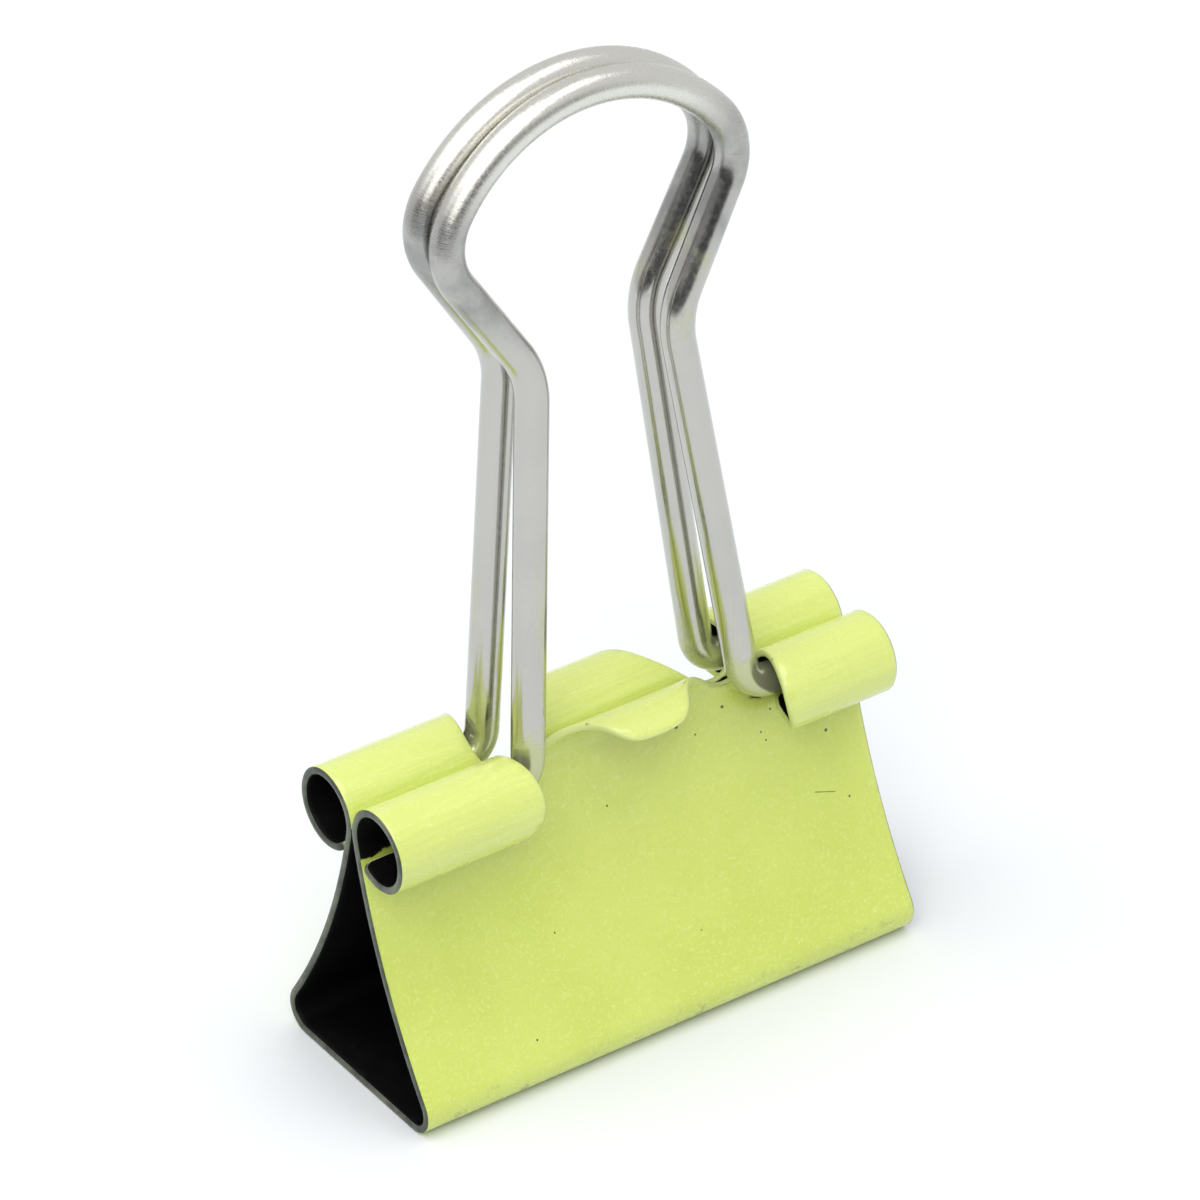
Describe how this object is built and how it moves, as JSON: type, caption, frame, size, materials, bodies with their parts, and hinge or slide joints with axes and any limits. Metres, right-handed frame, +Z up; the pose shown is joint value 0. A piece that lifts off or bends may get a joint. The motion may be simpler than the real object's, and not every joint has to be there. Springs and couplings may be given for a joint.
{
  "type": "binder clip",
  "caption": "Small binder clip: a triangular painted spring-steel body with rolled jaw edges and keyhole-shaped wire handles that fold flat.",
  "frame": {"origin": "middle of the flat spine's underside, which is the bottom centre of the bounding box", "axes": "X along the jaws, Y from the front jaw (-Y) to the rear jaw (+Y), Z up from the spine to the handles' crowns"},
  "size_m": [0.019, 0.0078, 0.0331],
  "materials": {
    "spring_steel_paint": "gloss",
    "nickel_wire": "polished"
  },
  "bodies": {
    "spine": {"spine_panel": "spring_steel_paint", "front_bend": "spring_steel_paint", "rear_bend": "spring_steel_paint"},
    "front_jaw": {"front_jaw": "spring_steel_paint"},
    "rear_jaw": {"rear_jaw": "spring_steel_paint"},
    "front_handle": {"front_handle": "nickel_wire"},
    "rear_handle": {"rear_handle": "nickel_wire"}
  },
  "joints": [
    {"name": "front_jaw_flex", "type": "hinge", "parent": "spine", "child": "front_jaw", "pos_m": [0, -0.00308, 0.00085], "axis": [1, 0, 0], "range_deg": [0, 18], "stiffness_Nm_per_rad": 0.05, "deforming": ["front_bend"]},
    {"name": "rear_jaw_flex", "type": "hinge", "parent": "spine", "child": "rear_jaw", "pos_m": [0, 0.00308, 0.00085], "axis": [-1, 0, 0], "range_deg": [0, 18], "stiffness_Nm_per_rad": 0.05, "deforming": ["rear_bend"]},
    {"name": "front_handle_swing", "type": "hinge", "parent": "front_jaw", "child": "front_handle", "pos_m": [0, -0.00107, 0.00985], "axis": [1, 0, 0], "range_deg": [0, 162]},
    {"name": "rear_handle_swing", "type": "hinge", "parent": "rear_jaw", "child": "rear_handle", "pos_m": [0, 0.00107, 0.00985], "axis": [-1, 0, 0], "range_deg": [0, 154]}
  ],
  "couplings": [
    {"joint": "rear_jaw_flex", "follows": "front_jaw_flex", "ratio": 1}
  ]
}
